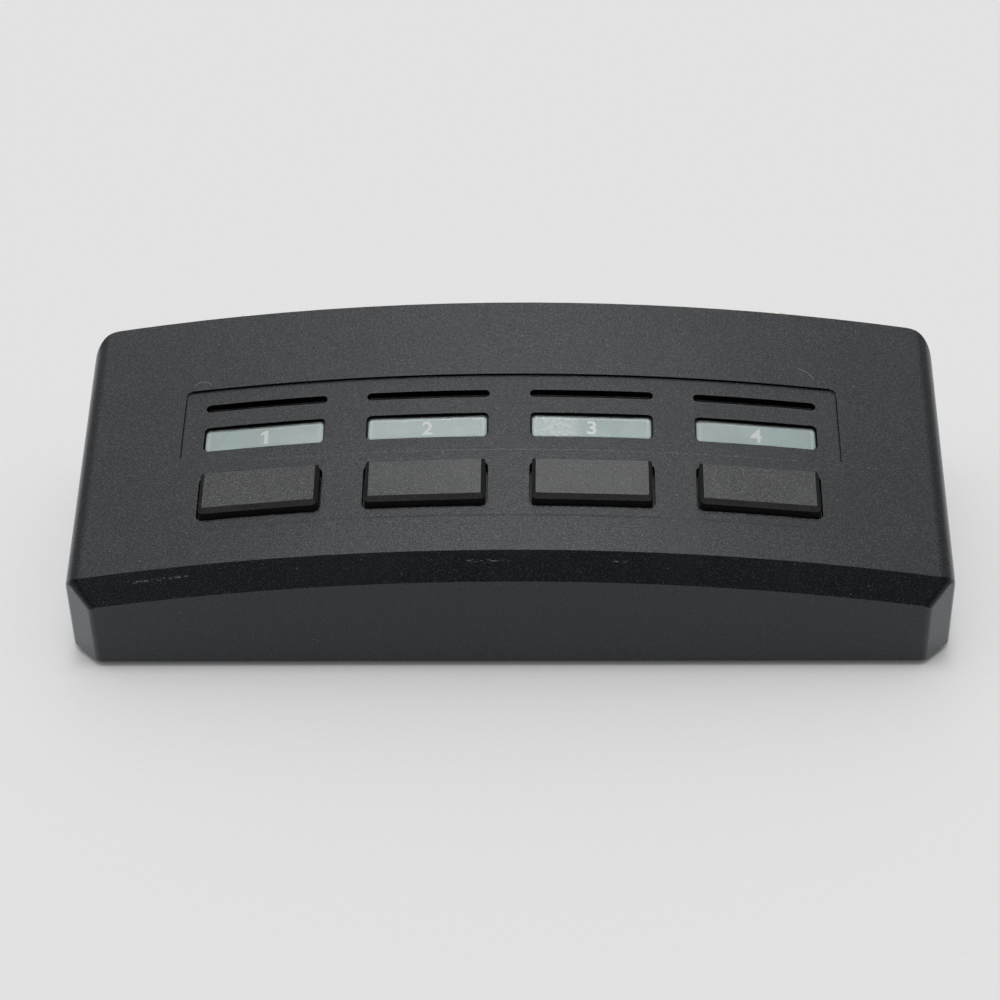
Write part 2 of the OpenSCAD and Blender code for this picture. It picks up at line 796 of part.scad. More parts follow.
top_cover();
bottom_cover();
rear_panel();
main_board();
switch_frame();
latch_bar();
latch_spring();
color("#d9b526") jack_inserts(3);  // jack_inserts_yellow
color("#e6e4de") jack_inserts(2);  // jack_inserts_white
color("#b5302a") jack_inserts(1);  // jack_inserts_red
case_screws();
board_screws();
for (i = [1:4]) {
    button(i);
    window_lens(i);
    label_card(i);
    switch_housing(i);
    plunger(i);
    return_spring(i);
    foot(i);
}
for (c = [1:jack_columns]) {
    jack_block(c);
    jack_shells(c);
    jack_contacts(c);
}
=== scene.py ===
import math

import bmesh
import bpy
from mathutils import Matrix, Vector


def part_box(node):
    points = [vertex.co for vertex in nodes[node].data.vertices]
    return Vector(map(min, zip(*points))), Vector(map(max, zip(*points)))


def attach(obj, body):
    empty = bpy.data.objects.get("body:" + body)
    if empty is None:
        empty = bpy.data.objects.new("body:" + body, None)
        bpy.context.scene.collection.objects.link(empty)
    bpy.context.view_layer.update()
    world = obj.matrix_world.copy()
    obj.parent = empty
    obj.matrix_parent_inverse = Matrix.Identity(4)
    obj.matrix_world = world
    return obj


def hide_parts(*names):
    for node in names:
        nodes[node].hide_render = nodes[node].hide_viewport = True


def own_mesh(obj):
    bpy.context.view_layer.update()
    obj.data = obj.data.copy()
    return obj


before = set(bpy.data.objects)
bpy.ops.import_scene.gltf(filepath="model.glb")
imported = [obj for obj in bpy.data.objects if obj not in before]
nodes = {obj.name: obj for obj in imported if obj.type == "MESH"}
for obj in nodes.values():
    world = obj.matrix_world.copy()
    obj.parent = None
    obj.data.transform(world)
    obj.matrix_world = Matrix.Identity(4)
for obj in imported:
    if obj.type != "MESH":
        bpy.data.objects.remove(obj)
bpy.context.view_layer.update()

STATIONS = (1, 2, 3, 4)
STATION_PITCH = 0.0377


def station_x(station):
    return (station - 2.5) * STATION_PITCH


# Adds a new object to the scene, which is a mesh or the camera.
def add_object(name, data):
    thing = bpy.data.objects.new(name, data)
    bpy.context.scene.collection.objects.link(thing)
    return thing


# Links a value to a socket if another node gives it, and writes it there if it is a plain number or colour.
def feed(tree, socket, value):
    if isinstance(value, bpy.types.NodeSocket):
        tree.links.new(value, socket)
    else:
        socket.default_value = value


def calculate(tree, operation, a, b):
    node = tree.nodes.new("ShaderNodeMath")
    node.operation = operation
    feed(tree, node.inputs[0], a)
    feed(tree, node.inputs[1], b)
    return node.outputs[0]


# The sockets of the Mix node that mix colours.
MIX_AMOUNT = 0
MIX_FIRST = 6
MIX_SECOND = 7
MIX_RESULT = 2
ROUNDING_SAMPLES = 6
HAIR_CORE = 0.00003
HAIR_EDGE = 0.00011
HAIR_FADE = 0.0004


# A finish is a material whose colour, roughness and bump are worked out from the place on the part.
class Finish:
    def __init__(self, name, shader_values):
        self.material = bpy.data.materials.new(name)
        self.material.use_nodes = True
        self.tree = self.material.node_tree
        self.tree.nodes.clear()
        self.output = self.tree.nodes.new("ShaderNodeOutputMaterial")
        self.shader = self.tree.nodes.new("ShaderNodeBsdfPrincipled")
        self.tree.links.new(self.shader.outputs[0], self.output.inputs["Surface"])
        for socket, value in shader_values.items():
            self.shader.inputs[socket].default_value = value
        self.place = self.coordinates("Object")

    def feed(self, socket, value):
        feed(self.tree, socket, value)

    def coordinates(self, kind):
        return self.tree.nodes.new("ShaderNodeTexCoord").outputs[kind]

    def math(self, operation, a, b=0.0):
        return calculate(self.tree, operation, a, b)

    def add(self, a, b):
        return self.math("ADD", a, b)

    def minus(self, a, b):
        return self.math("SUBTRACT", a, b)

    def times(self, a, b):
        return self.math("MULTIPLY", a, b)

    def most(self, a, b):
        return self.math("MAXIMUM", a, b)

    def absolute(self, value):
        return self.math("ABSOLUTE", value)

    def axis(self, letter, vector=None):
        node = self.tree.nodes.new("ShaderNodeSeparateXYZ")
        self.feed(node.inputs[0], vector or self.place)
        return node.outputs[letter]

    def facing(self, letter):
        return self.axis(letter, self.coordinates("Normal"))

    # The place, stretched by another scale along each axis.
    def stretch(self, scale):
        node = self.tree.nodes.new("ShaderNodeMapping")
        self.feed(node.inputs["Vector"], self.place)
        node.inputs["Scale"].default_value = scale
        return node.outputs[0]

    def noise(self, scale, detail=2.0, rough=0.5, place=None):
        node = self.tree.nodes.new("ShaderNodeTexNoise")
        self.feed(node.inputs["Vector"], place or self.place)
        node.inputs["Scale"].default_value = scale
        node.inputs["Detail"].default_value = detail
        node.inputs["Roughness"].default_value = rough
        return node.outputs[0]

    def cells(self, scale):
        node = self.tree.nodes.new("ShaderNodeTexVoronoi")
        self.feed(node.inputs["Vector"], self.place)
        node.inputs["Scale"].default_value = scale
        return node.outputs["Distance"]

    # Goes smoothly from start to end while the value goes from low to high.
    def ramp(self, value, low, high, start=0.0, end=1.0):
        node = self.tree.nodes.new("ShaderNodeMapRange")
        node.interpolation_type = "SMOOTHSTEP"
        self.feed(node.inputs["Value"], value)
        node.inputs["From Min"].default_value = low
        node.inputs["From Max"].default_value = high
        node.inputs["To Min"].default_value = start
        node.inputs["To Max"].default_value = end
        return node.outputs[0]

    # The other way round: 1 while the value is under low, and 0 once it is over high.
    def fade(self, value, low, high):
        return self.ramp(value, low, high, 1.0, 0.0)

    def mix(self, amount, a, b):
        node = self.tree.nodes.new("ShaderNodeMix")
        node.data_type = "RGBA"
        self.feed(node.inputs[MIX_AMOUNT], amount)
        self.feed(node.inputs[MIX_FIRST], a)
        self.feed(node.inputs[MIX_SECOND], b)
        return node.outputs[MIX_RESULT]

    def rounding(self, radius):
        node = self.tree.nodes.new("ShaderNodeBevel")
        node.samples = ROUNDING_SAMPLES
        node.inputs["Radius"].default_value = radius
        return node.outputs[0]

    # A thin line along part of a circle on the top, for a hair. It starts from_x and from_y off the middle.
    def arc(self, x, y, radius, from_x, from_y):
        across = self.minus(self.axis("X"), x)
        along = self.minus(self.axis("Y"), y)
        squares = self.add(self.times(across, across), self.times(along, along))
        gap = self.absolute(self.minus(self.math("SQRT", squares), radius))
        part = self.ramp(across, from_x, from_x + HAIR_FADE)
        part = self.times(part, self.ramp(along, from_y, from_y + HAIR_FADE))
        return self.times(self.fade(gap, HAIR_CORE, HAIR_EDGE), part)

    # A line across the part at one depth: 1 on the line, and 0 from half its width on.
    def line(self, y, half_width):
        return self.fade(self.absolute(self.minus(self.axis("Y"), y)), 0.0, half_width)

    def bump(self, height, depth, strength=1.0, normal=None):
        node = self.tree.nodes.new("ShaderNodeBump")
        node.inputs["Strength"].default_value = strength
        node.inputs["Distance"].default_value = depth
        self.feed(node.inputs["Height"], height)
        if normal is not None:
            self.feed(node.inputs["Normal"], normal)
        return node.outputs[0]

    def set(self, **sockets):
        for socket, value in sockets.items():
            self.feed(self.shader.inputs[socket.replace("_", " ")], value)
        return self.material


def grey(value):
    return (value, value, value, 1.0)


def colour(red, green, blue):
    return (red, green, blue, 1.0)


# Wear on the top cover. A hair is an arc: its middle, its radius and where it starts. A scuff on the front
# bevel has the middle and the half length of its row of marks.
HAIRS = ((-0.07215, 0.01227, 0.00243, -0.003, 0.0011), (0.06657, 0.01284, 0.00456, 0.0004, 0.0016))
SCUFFS = ((-0.0780, 0.0075), (-0.0045, 0.0055), (0.0248, 0.0022))
SCUFF_Y = -0.0387
SCUFF_HALF_WIDTH = 0.00028
DUST_SHARE = 0.4
HAIR_SHARE = 0.45
SCUFF_SHARE = 0.75
LINT_SHARE = 0.15


# How much of the pale colour of wear shows: dust, hairs, scuffs, and lint that lies along the fold.
def case_wear(f, fold):
    dust = f.fade(f.cells(480.0), 0.05, 0.10)
    dust = f.times(dust, f.ramp(f.noise(210.0, 2.0), 0.56, 0.62))
    worn = f.times(dust, DUST_SHARE)
    for hair in HAIRS:
        worn = f.most(worn, f.times(f.arc(*hair), HAIR_SHARE))
    marks = f.ramp(f.noise(1.0, 2.0, 0.6, f.stretch((700.0, 5000.0, 5000.0))), 0.54, 0.62)
    marks = f.times(marks, f.line(SCUFF_Y, SCUFF_HALF_WIDTH))
    for x, half_length in SCUFFS:
        near = f.fade(f.absolute(f.minus(f.axis("X"), x)), half_length * 0.7, half_length)
        worn = f.most(worn, f.times(f.times(marks, near), SCUFF_SHARE))
    lint = f.ramp(f.noise(900.0, 1.0), 0.58, 0.70, 0.0, LINT_SHARE)
    return f.most(worn, f.times(fold, lint))


# Two faint lines cross the top: a fold behind the buttons and a low step in front of them.
FOLD_Y = -0.0094
FOLD_HALF_WIDTH = 0.0003
FOLD_HEIGHT = 0.5
STEP_FRONT_Y = -0.0280
STEP_BACK_Y = -0.0273
STEP_HEIGHT = 1.3
GRAIN_DEPTH = 0.00005
# The zone with the openings, whose inner walls are painted black as painted shade.
OPENINGS_Y = -0.004
OPENINGS_HALF_DEPTH = 0.027


# Black moulded plastic with a fine eroded texture. As painted shade, the shoulders at the sides get less
# sheen and shine than the rest, and so do the walls of the openings.
def case_plastic():
    f = Finish("case_plastic", {"IOR": 1.45, "Sheen Roughness": 0.4})
    f.shader.inputs["Sheen Tint"].default_value = colour(0.92, 1.0, 1.08)
    f.shader.inputs["Specular Tint"].default_value = colour(0.96, 1.0, 1.04)
    grain = f.noise(2900.0, 1.0, 0.6)
    cloud = f.noise(45.0, 3.0, 0.6)
    outward = f.absolute(f.axis("X"))
    upward = f.facing("Z")
    # Painted shade: the shoulders lose sheen and shine by their facing, so that they show darker.
    shoulder = f.ramp(f.absolute(f.facing("X")), 0.19, 0.50)
    shoulder = f.times(shoulder, f.ramp(upward, 0.08, 0.30, 0.0, 0.6))
    # Painted shade: the steep walls in the zone of the openings are picked out by facing and painted black
    # where shade falls.
    inner = f.times(f.fade(upward, 0.35, 0.60), f.fade(outward, 0.0735, 0.0745))
    inner = f.ramp(f.times(inner, f.line(OPENINGS_Y, OPENINGS_HALF_DEPTH)), 0.01, 0.03)
    shade_dimming = f.most(shoulder, inner)
    fold = f.line(FOLD_Y, FOLD_HALF_WIDTH)
    step = f.times(f.ramp(f.axis("Y"), STEP_FRONT_Y, STEP_BACK_Y), STEP_HEIGHT)
    relief = f.minus(f.times(fold, FOLD_HEIGHT), step)
    relief = f.add(grain, f.times(relief, f.fade(outward, 0.060, 0.075)))
    normal = f.bump(relief, GRAIN_DEPTH, 1.0, f.rounding(0.00022))
    tone = f.mix(f.ramp(grain, 0.50, 0.80), colour(0.0008, 0.0009, 0.0011), colour(0.0330, 0.0345, 0.0365))
    tone = f.mix(f.ramp(cloud, 0.4, 0.75, 0.0, 0.12), tone, grey(0.010))
    tone = f.mix(case_wear(f, fold), tone, grey(0.30))
    # Painted shade: the walls of the openings are turned near black.
    tone = f.mix(inner, tone, grey(0.0005))
    rough = f.add(f.ramp(cloud, 0.3, 0.7, 0.22, 0.27), f.times(grain, 0.04))
    rough = f.most(rough, f.times(inner, 0.9))
    glint = f.times(f.ramp(grain, 0.36, 0.64, -0.11, 0.11), f.ramp(upward, 0.80, 0.93))
    shine = f.times(f.add(0.5, glint), f.minus(1.0, f.times(shade_dimming, 0.75)))
    sheen = f.times(f.minus(1.0, shade_dimming), 0.8)
    f.set(Specular_IOR_Level=shine, Sheen_Weight=sheen)
    return f.set(Base_Color=tone, Roughness=rough, Normal=normal)


# The place along the row of buttons where the tops are painted paler, as a painted highlight for the light
# they reflect.
PAINTED_HIGHLIGHT_X = 0.012


# The buttons: the same plastic with a finer texture. Their tops are paler, partly from dust and partly as
# painted light, and their chamfers get a grey of their own. Their side walls are left rough and painted near
# black as painted shade.
def button_plastic():
    f = Finish("button_plastic", {"IOR": 1.47, "Specular Tint": colour(0.98, 1.0, 1.02)})
    shade = grey(0.0015)
    grain = f.noise(4300.0, 1.0, 0.6)
    cloud = f.noise(140.0, 2.0, 0.6)
    upward = f.facing("Z")
    sideways = f.ramp(f.absolute(f.facing("X")), 0.25, 0.5)
    speck = f.ramp(grain, 0.47, 0.76)
    tone = f.mix(speck, colour(0.0030, 0.0033, 0.0037), colour(0.150, 0.1525, 0.156))
    tone = f.mix(f.ramp(cloud, 0.45, 0.75, 0.0, 0.25), tone, grey(0.055))
    # Painted highlight: the tops of the middle buttons are made paler, for the light they reflect.
    painted_highlight = f.ramp(f.absolute(f.minus(f.axis("X"), PAINTED_HIGHLIGHT_X)), 0.010, 0.045, 0.27, 0.0)
    tone = f.mix(painted_highlight, tone, grey(0.11))
    chamfer = f.mix(speck, grey(0.028), grey(0.075))
    # Painted light and shade by facing: the chamfers get a grey of their own, and the walls and the sides are
    # painted near black where shade falls.
    tone = f.mix(f.ramp(upward, 0.88, 0.96), chamfer, tone)
    tone = f.mix(f.ramp(upward, 0.15, 0.55), shade, tone)
    tone = f.mix(sideways, tone, shade)
    rough = f.most(f.ramp(cloud, 0.3, 0.7, 0.33, 0.27), f.times(sideways, 0.9))
    rough = f.most(rough, f.ramp(upward, 0.1, 0.4, 0.9, 0.0))
    normal = f.bump(grain, GRAIN_DEPTH, 1.0, f.rounding(0.00015))
    return f.set(Base_Color=tone, Roughness=rough, Normal=normal)


# Black plastic of the bottom cover, the rear panel and the jack blocks, with a coarser satin surface.
def dark_plastic():
    f = Finish("dark_plastic", {"IOR": 1.5})
    grain = f.noise(1800.0, 3.0, 0.6)
    cloud = f.noise(60.0, 2.0, 0.6)
    tone = f.mix(f.ramp(grain, 0.3, 0.7), grey(0.013), grey(0.025))
    rough = f.ramp(cloud, 0.3, 0.7, 0.42, 0.55)
    normal = f.bump(grain, GRAIN_DEPTH, 0.6, f.rounding(0.00025))
    return f.set(Base_Color=tone, Roughness=rough, Normal=normal)


# Clear lens with faint wiping marks.
def clear_plastic():
    tint = colour(0.95, 0.98, 0.97)
    f = Finish("clear_plastic", {"IOR": 1.49, "Transmission Weight": 1.0, "Base Color": tint})
    wipe = f.noise(1.0, 2.0, 0.6, f.stretch((120.0, 900.0, 900.0)))
    return f.set(Roughness=f.ramp(wipe, 0.4, 0.75, 0.02, 0.05))


# Painted reflection: the glare of three lenses, drawn on their cards as a paler colour from their left to
# their right end. The third is scratched instead, near one place.
LENS_GLARE = ((1, 0.12, 0.42), (2, 0.32, 0.30), (4, 0.21, 0.04))
SCRATCHED_X = 0.010


# Printed label card: grey-green, with the grain of paper. The pale strips near its two ends are a painted
# highlight for the lens's bright ends, and the scratches of one lens and the painted reflection of the others
# are drawn on the card.
def label_card():
    f = Finish("label_card", {"IOR": 1.45})
    fibre = f.noise(2400.0, 3.0, 0.6)
    cloud = f.noise(150.0, 2.0, 0.6)
    tone = f.mix(f.ramp(cloud, 0.3, 0.7), colour(0.39, 0.50, 0.51), colour(0.46, 0.57, 0.58))
    tone = f.mix(f.ramp(fibre, 0.4, 0.8, 0.0, 0.2), tone, grey(0.62))
    ends = f.absolute(f.minus(f.axis("X", f.coordinates("Generated")), 0.5))
    # Painted highlight: pale strips near both ends, for the light at the lens's ends.
    strip = f.times(f.ramp(ends, 0.452, 0.460), f.fade(ends, 0.470, 0.478))
    tone = f.mix(f.times(strip, 0.5), tone, colour(0.66, 0.72, 0.71))
    scratched = f.fade(f.absolute(f.minus(f.axis("X"), SCRATCHED_X)), 0.004, 0.007)
    scratches_and_glare = f.times(scratched, f.ramp(f.noise(1300.0, 2.0), 0.45, 0.62, 0.40, 0.95))
    # Painted reflection: the glare of the lenses is drawn on their cards.
    for station, left, right in LENS_GLARE:
        along = f.minus(f.axis("X"), station_x(station))
        near = f.fade(f.absolute(along), 0.015, 0.017)
        scratches_and_glare = f.most(scratches_and_glare, f.times(near, f.ramp(along, -0.012, 0.012, left, right)))
    tone = f.mix(scratches_and_glare, tone, colour(0.74, 0.79, 0.78))
    rough = f.ramp(fibre, 0.3, 0.7, 0.55, 0.7)
    return f.set(Base_Color=tone, Roughness=rough, Normal=f.bump(fibre, 0.00002, 0.4))


# Nickel plating with faint turning rings round the jack's axis.
def plated_metal():
    f = Finish("plated_metal", {"Metallic": 1.0})
    ring = f.noise(1.0, 2.0, 0.6, f.stretch((60.0, 5200.0, 60.0)))
    stain = f.noise(420.0, 3.0, 0.6)
    tone = f.mix(f.ramp(stain, 0.4, 0.75), colour(0.66, 0.64, 0.60), colour(0.48, 0.45, 0.40))
    rough = f.add(f.ramp(stain, 0.35, 0.75, 0.20, 0.36), f.times(ring, 0.08))
    normal = f.bump(ring, 0.00002, 0.35, f.rounding(0.00012))
    return f.set(Base_Color=tone, Roughness=rough, Normal=normal)


# Coloured plastic of the jacks: a moulded gloss that is dulled in places.
def insert_plastic(name, pale, deep):
    f = Finish(name, {"IOR": 1.5})
    cloud = f.noise(500.0, 3.0, 0.6)
    grain = f.noise(4000.0, 2.0, 0.6)
    tone = f.mix(f.ramp(cloud, 0.3, 0.75), pale, deep)
    normal = f.bump(grain, 0.00002, 0.4, f.rounding(0.00015))
    return f.set(Base_Color=tone, Roughness=f.ramp(cloud, 0.3, 0.7, 0.30, 0.45), Normal=normal)


# Brown laminate of the circuit board, with the weave of its paper.
def board():
    f = Finish("board", {"IOR": 1.5})
    threads = 9000.0
    across = f.math("SINE", f.times(f.axis("X"), threads))
    along = f.math("SINE", f.times(f.axis("Y"), threads))
    weave = f.times(across, along)
    cloud = f.noise(90.0, 2.0, 0.6)
    tone = f.mix(f.ramp(cloud, 0.3, 0.7), colour(0.22, 0.135, 0.040), colour(0.29, 0.185, 0.060))
    tone = f.mix(f.ramp(weave, -1.0, 1.0, 0.0, 0.25), tone, colour(0.36, 0.25, 0.10))
    rough = f.ramp(cloud, 0.3, 0.7, 0.28, 0.4)
    return f.set(Base_Color=tone, Roughness=rough, Normal=f.bump(weave, 0.00001, 0.3))


# Rolled steel of the switch frame and latch bar, and drawn spring wire.
def bare_steel():
    f = Finish("bare_steel", {"Metallic": 1.0})
    roll = f.noise(1.0, 3.0, 0.6, f.stretch((180.0, 5200.0, 5200.0)))
    stain = f.noise(180.0, 3.0, 0.6)
    tone = f.mix(f.ramp(stain, 0.35, 0.75), colour(0.56, 0.56, 0.55), colour(0.40, 0.39, 0.37))
    rough = f.add(f.ramp(stain, 0.3, 0.7, 0.28, 0.42), f.times(roll, 0.1))
    return f.set(Base_Color=tone, Roughness=rough, Normal=f.bump(roll, 0.00002, 0.35))


# Rubber of the feet: dull, with a pressed grain.
def foot_rubber():
    f = Finish("foot_rubber", {"IOR": 1.5})
    grain = f.noise(1500.0, 3.0, 0.65)
    cloud = f.noise(220.0, 2.0, 0.6)
    tone = f.mix(f.ramp(cloud, 0.3, 0.7), grey(0.018), grey(0.035))
    normal = f.bump(grain, 0.00008, 0.6, f.rounding(0.0003))
    return f.set(Base_Color=tone, Roughness=f.ramp(grain, 0.3, 0.7, 0.7, 0.85), Normal=normal)


# A finish with one noise, which sets its two tones, its roughness and its fine relief.
def stained(name, values, scale, detail, spread, tones, rough, relief, edges=None):
    f = Finish(name, values)
    stain = f.noise(scale, detail, 0.6)
    rounding = f.rounding(edges) if edges else None
    f.set(Base_Color=f.mix(f.ramp(stain, *spread), *tones), Roughness=f.ramp(stain, 0.3, 0.7, *rough))
    return f.set(Normal=f.bump(stain, *relief, rounding))


METAL = {"Metallic": 1.0}
# Brass of the centre contacts.
BRASS = (colour(0.72, 0.52, 0.22), colour(0.50, 0.33, 0.13))
brass = stained("contact_metal", METAL, 600.0, 3.0, (0.35, 0.75), BRASS, (0.22, 0.4), (0.00001, 0.3), 0.0001)
# Zinc plating of the screws.
ZINC = (colour(0.52, 0.52, 0.54), colour(0.36, 0.35, 0.33))
zinc = stained("screw_steel", METAL, 800.0, 3.0, (0.35, 0.75), ZINC, (0.3, 0.46), (0.00002, 0.35), 0.0001)
# Milky plastic of the plungers.
MILK = (colour(0.60, 0.58, 0.52), colour(0.70, 0.68, 0.62))
milk = stained("plunger_plastic", {"IOR": 1.48}, 260.0, 2.0, (0.3, 0.7), MILK, (0.4, 0.55), (0.00002, 0.3))
# White ink of the label numbers, a little uneven.
INK = (grey(0.88), grey(0.96))
ink = stained("label_ink", {"IOR": 1.45}, 2400.0, 3.0, (0.3, 0.7), INK, (0.45, 0.6), (0.00001, 0.3))
# The side walls of a lens, pale with the light in it.
WALLS = (colour(0.72, 0.79, 0.78), colour(0.84, 0.88, 0.87))
walls = stained("lens_edge", {"IOR": 1.49}, 1500.0, 2.0, (0.3, 0.7), WALLS, (0.22, 0.38), (0.00001, 0.3))
# The narrow outer ring of a lens, dark with the wall of the window that it mirrors.
RIM = (grey(0.002), grey(0.006))
rim = stained("lens_rim", {"IOR": 1.49}, 1500.0, 2.0, (0.3, 0.7), RIM, (0.5, 0.6), (0.00001, 0.3))

finishes = {
    "case_plastic": case_plastic(),
    "button_plastic": button_plastic(),
    "dark_plastic": dark_plastic(),
    "clear_plastic": clear_plastic(),
    "label_card": label_card(),
    "plated_metal": plated_metal(),
    "contact_metal": brass,
    "yellow_plastic": insert_plastic("yellow_plastic", colour(0.83, 0.55, 0.03), colour(0.72, 0.44, 0.02)),
    "white_plastic": insert_plastic("white_plastic", colour(0.80, 0.79, 0.76), colour(0.70, 0.69, 0.65)),
    "red_plastic": insert_plastic("red_plastic", colour(0.56, 0.020, 0.018), colour(0.42, 0.012, 0.012)),
    "board": board(),
    "bare_steel": bare_steel(),
    "plunger_plastic": milk,
    "foot_rubber": foot_rubber(),
    "screw_steel": zinc,
}
for node in nodes.values():
    slot = node.data.materials[0].name
    node.data.materials.clear()
    node.data.materials.append(finishes[slot])

SHARP_DEGREES = 24.0
SQUARE_MM = 1e6
OWN_SHARE = 1e-12


# The solids' curves are cut into flat facets. Their corner normals are blended, so that a curve shades as one
# surface. An edge of more than SHARP_DEGREES stays sharp, and a large face keeps its normal up to its edges.
def blend_facets(mesh):
    planes = []
    sizes = {}
    for face in mesh.polygons:
        plane = (*(round(value, 3) for value in face.normal), round(face.normal.dot(face.center), 5))
        planes.append(plane)
        sizes[plane] = sizes.get(plane, 0.0) + face.area
    places = [tuple(round(value, 6) for value in vertex.co) for vertex in mesh.vertices]
    meeting = {}
    for face in mesh.polygons:
        for vertex in face.vertices:
            meeting.setdefault(places[vertex], {})[planes[face.index]] = face.normal
    normals = []
    for face in mesh.polygons:
        for vertex in face.vertices:
            blend = face.normal * OWN_SHARE
            for plane, normal in meeting[places[vertex]].items():
                if normal.dot(face.normal) > math.cos(math.radians(SHARP_DEGREES)):
                    blend = blend + normal * (sizes[plane] * SQUARE_MM) ** 2
            normals.append(blend.normalized())
    mesh.polygons.foreach_set("use_smooth", [True] * len(mesh.polygons))
    mesh.normals_split_custom_set(normals)


for node in nodes.values():
    blend_facets(node.data)


# Draws the corners of a face that is close to a level rectangle in to arcs of the given radius.
def round_corners(face, radius):
    xs = [vertex.co.x for vertex in face.verts]
    ys = [vertex.co.y for vertex in face.verts]
    normal = face.normal.copy()
    for vertex in face.verts:
        centre = vertex.co.copy()
        centre.x = min(max(vertex.co.x, min(xs) + radius), max(xs) - radius)
        centre.y = min(max(vertex.co.y, min(ys) + radius), max(ys) - radius)
        out = Vector((vertex.co.x - centre.x, vertex.co.y - centre.y, 0.0))
        if out.length > radius:
            move = out * (radius / out.length) - out
            move.z = -(normal.x * move.x + normal.y * move.y) / normal.z
            vertex.co += move


# A lens's material slots, and the two rings of its bevelled rim: the slot, the width and the rise of each.
LENS_CLEAR = 0
LENS_WALL = 1
LENS_RIM = 2
LENS_RINGS = ((LENS_RIM, 0.00010, 0.0001), (LENS_CLEAR, 0.00044, 0.0002))
LENS_RISE = sum(rise for slot, width, rise in LENS_RINGS)
LENS_CORNER = 0.0020
LEVEL = 0.9
SAME_POINT = 1e-6
SAME_PLANE = 0.01

# The lenses get a bevelled rim, which the solid leaves square, and rounder corners.
for station in STATIONS:
    solid = nodes[f"window_lens_{station}"]
    shape = bmesh.new()
    shape.from_mesh(solid.data)
    bmesh.ops.remove_doubles(shape, verts=shape.verts, dist=SAME_POINT)
    bmesh.ops.dissolve_limit(shape, angle_limit=SAME_PLANE, verts=shape.verts, edges=shape.edges)
    shape.normal_update()
    for face in shape.faces:
        face.smooth = False
        face.material_index = LENS_CLEAR if abs(face.normal.z) > LEVEL else LENS_WALL
    top = max(shape.faces, key=lambda face: face.normal.z)
    bmesh.ops.translate(shape, verts=list(top.verts), vec=top.normal * -LENS_RISE)
    for slot, width, rise in LENS_RINGS:
        ring = bmesh.ops.inset_individual(shape, faces=[top], thickness=width, depth=rise)
        shape.normal_update()
        for face in ring["faces"]:
            face.material_index = slot
        if slot == LENS_RIM:
            round_corners(top, LENS_CORNER)
    mesh = bpy.data.meshes.new(f"lens_{station}")
    shape.to_mesh(mesh)
    shape.free()
    mesh.materials.append(finishes["clear_plastic"])
    mesh.materials.append(walls)
    mesh.materials.append(rim)
    rimmed = add_object(f"lens_{station}", mesh)
    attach(rimmed, "case")
    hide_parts(f"window_lens_{station}")

WIRE = 0.0005
TURNS = 4
TURN_STEPS = 24
WIRE_SIDES = 8
# The rise of a turn that lies flat, and the room left at each end.
FLAT_RISE = WIRE * 1.02
END_ROOM = 0.00002


# Springs wound from drawn wire stand for the solids' plain tubes. The first and the last turn lie flat.
def wind(start, end, outer):
    axis = (end - start).normalized()
    side = Vector((0.0, 1.0, 0.0))
    other = axis.cross(side)
    rise = (end - start).length - WIRE - 2.0 * END_ROOM
    points = []
    for step in range(TURNS * TURN_STEPS + 1):
        turn = step / TURN_STEPS
        between = FLAT_RISE + (rise - 2.0 * FLAT_RISE) * (turn - 1.0) / (TURNS - 2.0)
        height = min(max(between, FLAT_RISE), rise - FLAT_RISE)
        height += FLAT_RISE * (min(turn, 1.0) - 1.0 + max(turn - TURNS + 1.0, 0.0))
        outward = side * math.cos(math.tau * turn) + other * math.sin(math.tau * turn)
        middle = start + axis * (height + WIRE / 2 + END_ROOM) + outward * (outer - WIRE / 2)
        for corner in range(WIRE_SIDES):
            angle = math.tau * corner / WIRE_SIDES
            points.append(middle + (outward * math.cos(angle) + axis * math.sin(angle)) * WIRE / 2)
    last = len(points) - WIRE_SIDES
    faces = [tuple(range(WIRE_SIDES)), tuple(range(len(points) - 1, last - 1, -1))]
    for row in range(0, last, WIRE_SIDES):
        ahead = row + WIRE_SIDES
        for corner in range(WIRE_SIDES):
            following = (corner + 1) % WIRE_SIDES
            faces.append((row + corner, ahead + corner, ahead + following, row + following))
    return points, faces


PRESS_TRAVEL = 0.0020
SLIDE_TRAVEL = 0.0015

# A spring is wound from its near end to its far end. The joint that moves it and its travel are listed with
# it.
springs = []
for station in STATIONS:
    low, high = (Vector(corner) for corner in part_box(f"return_spring_{station}"))
    middle = (low + high) / 2
    near = Vector((middle.x, middle.y, low.z))
    far = Vector((middle.x, middle.y, high.z))
    joint = f"button_{station}_press"
    springs.append((f"return_spring_{station}", joint, near, far, middle.x - low.x, PRESS_TRAVEL))
low, high = (Vector(corner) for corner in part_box("latch_spring"))
middle = (low + high) / 2
near = Vector((high.x, middle.y, middle.z))
far = Vector((low.x, middle.y, middle.z))
springs.append(("latch_spring", "latch_slide", near, far, middle.y - low.y, SLIDE_TRAVEL))
for name, joint, near, far, outer, travel in springs:
    points, faces = wind(near, far, outer)
    mesh = bpy.data.meshes.new(f"wound_{name}")
    mesh.from_pydata(points, [], faces)
    mesh.polygons.foreach_set("use_smooth", [True] * len(faces))
    mesh.materials.append(finishes["bare_steel"])
    spring = add_object(f"wound_{name}", mesh)
    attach(spring, "case")
    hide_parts(name)
    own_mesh(spring)


# Painted shade: dark strips laid in the crease at the foot of the panel's two side walls, where shade falls,
# which draw the panel's outline.
def crease_dirt():
    f = Finish("crease_dirt", {"IOR": 1.3})
    grain = f.noise(1800.0, 2.0, 0.6)
    tone = f.mix(f.ramp(grain, 0.35, 0.7), grey(0.002), grey(0.010))
    return f.set(Base_Color=tone, Roughness=f.ramp(grain, 0.3, 0.7, 0.75, 0.9))


